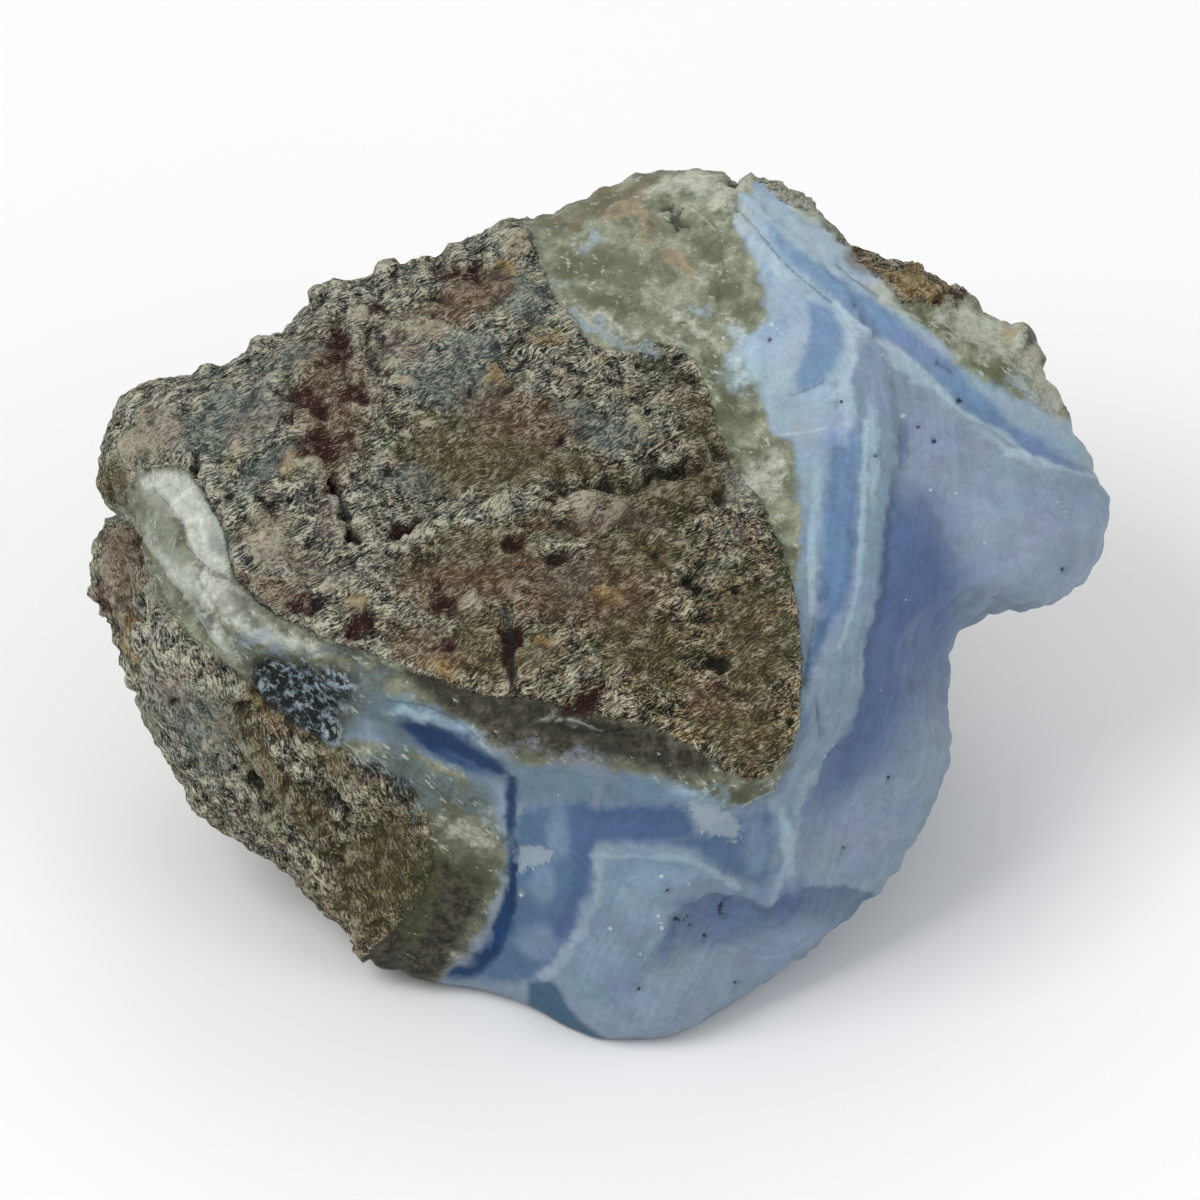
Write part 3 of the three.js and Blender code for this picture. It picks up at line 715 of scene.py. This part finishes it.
def shapeStone(node):
    stone = copySolid(node)
    print("stone mesh:", len(stone.data.vertices), "points")
    points = readPoints(stone)
    right, up, height = onDrawing(points)
    places, behind = markPlaces(right, up, height)
    stray = unevenness(places)
    places = places + stray * (2 * ease(behind, 0, 5))[:, None]
    depths = {name: areasDepth(parts, places, behind) for name, parts in paintedAreas.items()}
    for name, blocks in (("host", hostBlocks), ("lowerHost", hostBlocks[1:2])):
        depths[name] = areasDepth({"through": True, "areas": blocks}, places, behind)
    layers = np.where(behind > 0, -6, areaDepth(layerEdge, places))
    gaps = {}
    for name, parts in thinMarks.items():
        offset, gaps[name] = thinOffset(parts, places, behind)
        keepVectors(stone, name, offset)
    print("drawn areas:", len(depths))

    roughable = ease(points[:, 2], stoneShape["flatSpot"], 3 * stoneShape["flatSpot"])
    hostShare = ease(depths["host"], -0.3, 0.6)
    rindShare = 0.35 * ease(depths["rind"], -0.3, 0.6) * (1 - hostShare)
    weigh(stone, "host", (hostShare + rindShare) * roughable)
    weigh(stone, "agate", (1 - hostShare) * roughable)
    facing = readNormals(stone) @ outwards
    weigh(stone, "edges", (1 - hostShare) * (1 - ease(facing, 0.15, 0.55)) * roughable)
    shown = ease(height + 16 + 0.16 * up, 0, 4) * roughable
    rocky = np.maximum(hostShare, ease(depths["rind"], -0.3, 0.6))
    tint, tintShare, tintRise = layTints(places + stray * (0.4 + 0.6 * rocky)[:, None], shown)
    ripple = np.sin(right * 2.1 + np.sin(up * 1.7)) + np.sin(up * 2.9 + np.sin(right * 1.3))
    rise = drawnRelief(depths, gaps, layers, ripple / 2, places) * shown + tintRise
    writePoints(stone, points + readNormals(stone) * rise[:, None] / 1000)
    for kind, size, *depthOn in stoneShape["waves"]:
        for group, strength in zip(("host", "agate", "edges"), depthOn):
            if strength:
                roughen(stone, kind, size, strength, group)
    stone.vertex_groups.clear()
    points = readPoints(stone)
    points[:, 2] = np.maximum(points[:, 2], 0)
    writePoints(stone, points)
    print("relief done")

    # How far each point stands proud, used to paint hollows darker and ridges lighter as painted shade and light
    proudShading = standingProud(stone, points, readNormals(stone), 6)
    keepValues(stone, "proudShading", np.clip(proudShading, -0.6, 0.6))
    keepValues(stone, "layers", np.clip(layers, -6, 6))
    for name, depth in depths.items():
        keepValues(stone, name, depth)
    keepValues(stone, "tintShare", tintShare)
    keepVectors(stone, "tint", tint)
    keepVectors(stone, "drawn", np.stack(onDrawing(points), 1))
    makeActive(stone)
    bpy.ops.object.shade_smooth()
    return stone


# Some tones are painted shade (darker copies for the lower agate, shade in hollows, strips and below the step) and one
# is a painted highlight (white glints)
tones = {
    "massive": "#8292a4", "massiveShadedLow": "#7b8c9e", "massiveShade": "#506588",
    "shadeBelowStep": "#566a81", "pale": "#9aafbe", "paleShadedLow": "#5d7283", "lowPale": "#6e8396",
    "greenPale": "#758a9b", "midBlue": "#4a6583", "deep": "#708aa8", "deepShadedLow": "#3d5779",
    "navy": "#05325c", "teal": "#34566f", "whiteLine": "#a9bfca", "whiteLineShadedLow": "#8fa3b0",
    "wisp": "#a9b3ac", "chip": "#98a4ae", "rindDark": "#636754", "rindPale": "#8c907b",
    "frost": "#b0b8ac", "quartz": "#c2c7bd", "shadeUnderBlock": "#28251b", "shadeUnderBlockPale": "#4f4d40",
    "hostDark": "#14110b", "hostCool": "#62675f", "hostGrey": "#777362", "hostWarm": "#857553",
    "hostLight": "#cfcbb6", "crack": "#2c333b", "pit": "#12141c", "glintHighlight": "#cfd9de",
    "coolGrey": "#67736f", "oliveBrown": "#5e5536", "pinkGrey": "#93857c", "umberBrown": "#6d5540",
    "ochre": "#927a4c", "creamy": "#aca48c", "ruddy": "#381a14", "oliveShade": "#1f241b",
    "greyGreen": "#7d8474", "rimStone": "#a9ac9c", "oliveClear": "#4c5036", "stainOrange": "#8b7b64",
    "hairBrown": "#5c4f36", "holeShade": "#23271f", "umberBandShade": "#26261d", "mauve": "#747a88",
    "creamHaze": "#b0b2a3", "blueHaze": "#8b99a2", "smoke": "#5b6a70", "pocketDark": "#121c1a",
    "pocketBlue": "#8594a0", "icePale": "#a6bdca", "veinBlue": "#6f8fb5", "lavender": "#8490a8",
    "indigoAndShade": "#4c6087", "deepNavy": "#00274f", "lightCloud": "#7d92a6", "floor": "#f4f4f4",
}


def linear(hexTone):
    parts = [int(hexTone[i:i + 2], 16) / 255 for i in (1, 3, 5)]
    return [c / 12.92 if c <= 0.04045 else ((c + 0.055) / 1.055) ** 2.4 for c in parts] + [1]


# A node with its inputs set: a tone by name, a number, or another node's output
def add(tree, kind, settings=None, sockets=None):
    node = tree.nodes.new("ShaderNode" + kind)
    for name, value in (settings or {}).items():
        setattr(node, name, value)
    for name, value in (sockets or {}).items():
        if isinstance(value, bpy.types.NodeSocket):
            tree.links.new(value, node.inputs[name])
        elif isinstance(value, str):
            node.inputs[name].default_value = linear(tones[value])
        else:
            node.inputs[name].default_value = value
    return node


def calc(tree, operation, a, b=0.0):
    return add(tree, "Math", {"operation": operation}, {0: a, 1: b}).outputs[0]


def mixTone(tree, share, below, above, blend="MIX"):
    settings = {"data_type": "RGBA", "blend_type": blend}
    return add(tree, "Mix", settings, {0: share, 6: below, 7: above}).outputs[2]


def easeNode(tree, value, low, high):
    settings = {"interpolation_type": "SMOOTHSTEP"}
    return add(tree, "MapRange", settings, {0: value, 1: low, 2: high}).outputs[0]


# Noise about 0.5 with features of that size in mm
def waviness(tree, place, size, detail=2.0, roughness=0.55):
    sockets = {"Vector": place, "Scale": 1 / size, "Detail": detail, "Roughness": roughness}
    return add(tree, "TexNoise", {}, sockets).outputs[0]


def read(tree, name, output=2):
    return add(tree, "Attribute", {"attribute_name": name}).outputs[output]


# A sum of values, each as (value, middle, strength): how far it is from its middle counts
def weighed(tree, start, parts):
    total = start
    for value, middle, strength in parts:
        off = calc(tree, "SUBTRACT", value, middle)
        total = calc(tree, "ADD", total, calc(tree, "MULTIPLY", off, strength))
    return total


# Share of a painted area: 1 inside, with an edge that wanders by about that many mm
def painted(tree, name, edge, noise, wander):
    uneven = calc(tree, "MULTIPLY", calc(tree, "SUBTRACT", noise, 0.5), 4 * wander)
    return easeNode(tree, calc(tree, "ADD", read(tree, name), uneven), -edge, edge)


def thinShare(tree, name, noise, soft):
    sockets = {0: read(tree, name, 1)}
    beside = add(tree, "VectorMath", {"operation": "LENGTH"}, sockets).outputs[1]
    beside = weighed(tree, beside, [(noise, 0.5, 4.0)])
    return calc(tree, "SUBTRACT", 1.0, easeNode(tree, beside, 1.0 - soft, 1.0 + soft))


def stretched(tree, place, angle, length):
    sockets = {"Vector": place, "Rotation": (0, 0, math.radians(angle)), "Scale": (length, 1, 1)}
    return add(tree, "Mapping", {"vector_type": "TEXTURE"}, sockets).outputs[0]


# Dark and light grains in a matrix that turns from grey and lighter at the upper left to brown and darker at the lower
# right, with hollows painted darker and ridges lighter as painted shade and light
def hostTone(tree, place, grit, hill):
    grains = add(tree, "TexVoronoi", {}, {"Vector": place, "Scale": 1 / 0.42})
    grain = add(tree, "SeparateColor", {}, {0: grains.outputs["Color"]})
    drawn = add(tree, "SeparateXYZ", {}, {0: place})
    slant = calc(tree, "SUBTRACT", drawn.outputs[0], drawn.outputs[1])
    corner = easeNode(tree, slant, -45.0, 35.0)
    value = weighed(tree, 0.28, [
        (grit, 0.5, 7.4), (grain.outputs[0], 0.5, 0.4), (waviness(tree, place, 1.2, 3.0), 0.5, 3.0),
        (hill, 0.5, 2.0), (read(tree, "proudShading"), 0, 1.5), (corner, 0.3, -0.4),
    ])
    warmth = weighed(tree, 0.0, [
        (corner, 0, 0.5), (waviness(tree, place, 2.4, 3.0, 0.65), 0.25, 1.4),
        (grain.outputs[1], 0.5, 0.35),
    ])
    tone = mixTone(tree, easeNode(tree, warmth, 0.2, 0.6), "hostCool", "hostGrey")
    tone = mixTone(tree, easeNode(tree, warmth, 0.6, 0.95), tone, "hostWarm")
    tone = mixTone(tree, read(tree, "tintShare"), tone, read(tree, "tint", 1))
    hue = add(tree, "TexNoise", {}, {"Vector": place, "Scale": 0.5, "Detail": 5.0, "Roughness": 0.7})
    tone = mixTone(tree, 0.45, tone, hue.outputs[1], "OVERLAY")
    tone = mixTone(tree, easeNode(tree, value, -0.6, 0.5), "hostDark", tone)
    plain = weighed(tree, 1.0, [(read(tree, "tintShare"), 0.0, -0.5)])
    lightShare = calc(tree, "MULTIPLY", easeNode(tree, value, 0.5, 1.4), plain)
    tone = mixTone(tree, lightShare, tone, mixTone(tree, 0.15, "hostLight", tone))
    stain = calc(tree, "MULTIPLY", read(tree, "tintShare"), 0.42)
    return mixTone(tree, stain, tone, read(tree, "tint", 1))


# Clear grey-green rind with dark rock showing through, frosted flecks, and painted shade in dark strips below the host
# blocks
def rindTone(tree, place, grit):
    clouds = waviness(tree, place, 3.4, 4.0, 0.62)
    mottle = waviness(tree, place, 1.1, 6.0, 0.75)
    flecks = waviness(tree, stretched(tree, place, -38, 2.6), 0.45, 3.0, 0.65)
    fleckShare = weighed(tree, flecks, [(waviness(tree, place, 1.7), 0.5, 0.6)])
    tone = mixTone(tree, easeNode(tree, clouds, 0.38, 0.64), "rindDark", "rindPale")
    # Painted shade in the dark strips below the host blocks, mottled paler
    shadeUnderBlock = painted(tree, "shadeUnderBlock", 0.9, clouds, 0.8)
    shadeUnderBlockTone = mixTone(tree, easeNode(tree, mottle, 0.35, 0.65), "shadeUnderBlock", "shadeUnderBlockPale")
    tone = mixTone(tree, shadeUnderBlock, tone, shadeUnderBlockTone)
    quartz = calc(tree, "MULTIPLY", painted(tree, "quartz", 0.5, mottle, 0.3), 0.85)
    tone = mixTone(tree, quartz, tone, "quartz")
    tinted = read(tree, "tintShare")
    tintShare = weighed(tree, tinted, [(clouds, 0.5, 0.9), (mottle, 0.5, 1.6)])
    tintShare = calc(tree, "MULTIPLY", easeNode(tree, tintShare, 0.0, 1.0), easeNode(tree, tinted, 0.0, 0.25))
    tone = mixTone(tree, calc(tree, "MULTIPLY", tintShare, 0.85), tone, read(tree, "tint", 1))
    pocketTone = mixTone(tree, easeNode(tree, mottle, 0.48, 0.64), "pocketDark", "pocketBlue")
    tone = mixTone(tree, painted(tree, "pocket", 1.2, clouds, 1.0), tone, pocketTone)
    drawn = add(tree, "SeparateXYZ", {}, {0: place})
    # Mottled, and lighter towards the top as painted light
    light = weighed(tree, 1.0, [
        (mottle, 0.5, 1.9), (grit, 0.5, 0.7), (drawn.outputs[1], 12.0, 0.006),
    ])
    shading = add(tree, "CombineXYZ", {}, {0: light, 1: light, 2: light}).outputs[0]
    tone = mixTone(tree, 1.0, tone, shading, "MULTIPLY")
    fleckShare = calc(tree, "SUBTRACT", fleckShare, calc(tree, "MULTIPLY", shadeUnderBlock, 0.1))
    fleckShare = calc(tree, "MULTIPLY", easeNode(tree, fleckShare, 0.585, 0.73), 0.8)
    return mixTone(tree, fleckShare, tone, "frost")


# Massive lavender agate under the painted bands, with painted shade: darker towards the bottom, in the shade area and
# below the broken step
def agateTone(tree, place, fine, broad):
    drawn = add(tree, "SeparateXYZ", {}, {0: place})
    # Painted shade: the massive, pale, deep and white-line tones turn to darker copies towards the bottom
    low = calc(tree, "SUBTRACT", 1.0, easeNode(tree, drawn.outputs[1], -16.0, 34.0))
    tone = mixTone(tree, low, "massive", "massiveShadedLow")
    # Painted shade: the massive agate is darker inside the shade area
    shade = easeNode(tree, read(tree, "shade"), -5.5, 2.0)
    tone = mixTone(tree, shade, tone, "massiveShade")
    # Painted shadow below the broken step, fading away from the step and towards the bottom
    fading = calc(tree, "SUBTRACT", 1.0, easeNode(tree, read(tree, "under"), 0.0, 9.0))
    fading = calc(tree, "MULTIPLY", fading, easeNode(tree, drawn.outputs[1], -38.0, -30.0))
    under = painted(tree, "under", 0.25, fine, 0.3)
    tone = mixTone(tree, calc(tree, "MULTIPLY", under, fading), tone, "shadeBelowStep")
    tints = {
        "pale": mixTone(tree, low, "pale", "paleShadedLow"),
        "deep": mixTone(tree, low, "deep", "deepShadedLow"),
    }
    for name, edge, wander, noise in (
        ("pale", 1.0, 0.6, broad), ("greenPale", 0.4, 0.15, fine), ("lowPale", 0.8, 0.5, broad),
        ("midBlue", 0.8, 0.5, broad), ("deep", 0.6, 0.4, broad), ("navy", 0.55, 0.25, fine),
        ("teal", 0.4, 0.15, fine),
    ):
        tint = tints.get(name, name)
        tone = mixTone(tree, painted(tree, name, edge, noise, wander), tone, tint)
    tone = mixTone(tree, read(tree, "tintShare"), tone, read(tree, "tint", 1))
    lineShare = calc(tree, "MULTIPLY", thinShare(tree, "whiteLine", broad, 0.85), 0.6)
    tone = mixTone(tree, lineShare, tone, mixTone(tree, low, "whiteLine", "whiteLineShadedLow"))
    across = calc(tree, "MULTIPLY", read(tree, "layers"), 2.2)
    along = calc(tree, "MULTIPLY", drawn.outputs[1], 0.08)
    banding = add(tree, "CombineXYZ", {}, {0: across, 1: along}).outputs[0]
    light = weighed(tree, 1.0, [
        (waviness(tree, place, 2.6, 8.0, 0.85), 0.5, 1.1), (fine, 0.5, 0.3),
        (waviness(tree, banding, 1.0, 3.0, 0.6), 0.5, 0.4),
    ])
    shading = add(tree, "CombineXYZ", {}, {0: light, 1: light, 2: light}).outputs[0]
    tone = mixTone(tree, 1.0, tone, shading, "MULTIPLY")
    hue = add(tree, "TexNoise", {}, {"Vector": place, "Scale": 0.22, "Detail": 4.0, "Roughness": 0.6})
    return mixTone(tree, 0.15, tone, hue.outputs[1], "OVERLAY")


def stoneMaterial():
    material = bpy.data.materials.new("lace agate rock")
    material.use_nodes = True
    tree = material.node_tree
    tree.nodes.clear()
    place = read(tree, "drawn", 1)
    fine = waviness(tree, place, 0.7, 3.0, 0.65)
    broad = waviness(tree, place, 2.2, 4.0, 0.6)
    lower = easeNode(tree, read(tree, "lowerHost"), -1.0, 0.5)
    bent = add(tree, "TexNoise", {}, {"Vector": place, "Scale": 0.35, "Detail": 1.0}).outputs[1]
    bent = add(tree, "VectorMath", {"operation": "MULTIPLY_ADD"}, {0: bent, 1: (1.8, 1.8, 0), 2: place})
    bent = bent.outputs[0]
    grits = [waviness(tree, stretched(tree, bent, angle, 4.5), 0.19, 2.0, 0.75) for angle in (32, 108)]
    grit = weighed(tree, grits[0], [(calc(tree, "MULTIPLY", lower, grits[1]), 0.0, 1.0)])
    grit = weighed(tree, grit, [(calc(tree, "MULTIPLY", lower, grits[0]), 0.0, -1.0)])
    hostShare = painted(tree, "host", 0.15, fine, 0.3)
    rindShare = painted(tree, "rind", 0.5, broad, 0.7)
    agate = agateTone(tree, place, fine, broad)
    tone = mixTone(tree, rindShare, agate, rindTone(tree, place, grit))
    tone = mixTone(tree, hostShare, tone, hostTone(tree, place, grit, broad))
    chips = calc(tree, "MULTIPLY", painted(tree, "chip", 0.3, fine, 0.5), 0.7)
    tone = mixTone(tree, calc(tree, "MULTIPLY", chips, easeNode(tree, fine, 0.15, 0.45)), tone, "chip")
    inAgate = calc(tree, "SUBTRACT", 1.0, hostShare)
    # Thin marks laid over: wisps, cracks, pits painted dark as shade, and white spots painted as glints
    for name, strength, weaker, soft in (
        ("wisp", 0.4, 0.0, 0.7), ("crack", 0.7, 0.35, 0.8), ("pit", 0.85, 0.0, 0.5),
        ("glintHighlight", 0.6, 0.0, 0.6),
    ):
        strength = weighed(tree, strength, [(inAgate, 0.0, -weaker)])
        share = calc(tree, "MULTIPLY", thinShare(tree, name, fine, soft), strength)
        tone = mixTone(tree, share, tone, name)
    roughness = add(tree, "MapRange", {}, {0: hostShare, 3: 0.5, 4: 0.85}).outputs[0]
    rougher = calc(tree, "ADD", hostShare, calc(tree, "MULTIPLY", rindShare, 0.2))
    height = calc(tree, "MULTIPLY", grit, calc(tree, "ADD", rougher, 0.05))
    bump = add(tree, "Bump", {}, {"Strength": 0.75, "Distance": 0.0007, "Height": height})
    sockets = {
        "Base Color": tone, "Roughness": roughness, "Specular IOR Level": 0.22,
        "Normal": bump.outputs[0],
    }
    surface = add(tree, "BsdfPrincipled", {}, sockets)
    add(tree, "OutputMaterial", {}, {0: surface.outputs[0]})
    return material


def makeStone(frame):
    stone = shapeStone(frame["nodes"][stoneShape["node"]])
    stone.data.materials.clear()
    stone.data.materials.append(stoneMaterial())
    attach(stone, "root")
    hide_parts(stoneShape["node"])
    print("stone painted")


stage = {
    "floorSide": 6,
    "skyStrength": 0.62,
    "cameraAway": 4,
    "frameWidth": 1200,  # drawing units
    "lamps": [  # place, side in metres, power in watts
        ((-0.7, -0.5, 1.1), 0.7, 9.0),
        ((0.9, -0.7, 0.8), 0.9, 3.0),
        ((0.1, 1.0, 0.9), 0.9, 2.5),
    ],
}


def plainMaterial(name, tone):
    material = bpy.data.materials.new(name)
    material.use_nodes = True
    surface = material.node_tree.nodes["Principled BSDF"]
    surface.inputs["Base Color"].default_value = linear(tones[tone])
    surface.inputs["Roughness"].default_value = 0.9
    return material


def makeStage():
    bpy.ops.object.select_all(action="DESELECT")
    bpy.ops.mesh.primitive_plane_add(size=stage["floorSide"])
    floor = bpy.context.object
    floor.name = "floor"
    floor.data.materials.append(plainMaterial("floor paper", "floor"))
    world = bpy.data.worlds.new("studio")
    bpy.context.scene.world = world
    world.use_nodes = True
    world.node_tree.nodes["Background"].inputs["Color"].default_value = (1, 1, 1, 1)
    world.node_tree.nodes["Background"].inputs["Strength"].default_value = stage["skyStrength"]
    for place, side, power in stage["lamps"]:
        bpy.ops.object.light_add(type="AREA", location=place)
        lamp = bpy.context.object
        lamp.data.size = side
        lamp.data.energy = power
        lamp.rotation_euler = (-Vector(place)).to_track_quat("-Z", "Y").to_euler()
    print("stage ready")


# Long lens on the photograph's line of sight, framing the drawing's full width
def makeCamera():
    away = stage["cameraAway"]
    bpy.ops.object.camera_add(
        location=Vector(drawing["place"]) + Vector(outwards) * away,
        rotation=(math.pi / 2 - drawing["tilt"], 0, 0),
    )
    camera = bpy.context.object
    width = stage["frameWidth"] * drawing["unit"] / 1000
    camera.data.lens = camera.data.sensor_width * away / width
    camera.data.clip_end = 3 * away
    bpy.context.scene.camera = camera


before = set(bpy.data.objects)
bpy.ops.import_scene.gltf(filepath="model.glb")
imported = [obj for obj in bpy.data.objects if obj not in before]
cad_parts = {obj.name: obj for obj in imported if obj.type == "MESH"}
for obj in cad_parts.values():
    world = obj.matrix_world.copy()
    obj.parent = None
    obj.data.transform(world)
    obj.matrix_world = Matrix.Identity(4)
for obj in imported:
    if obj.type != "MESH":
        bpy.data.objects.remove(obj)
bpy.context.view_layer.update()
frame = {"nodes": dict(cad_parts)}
makeStone(frame)
makeStage()
makeCamera()
bpy.context.scene.view_settings.view_transform = "Standard"
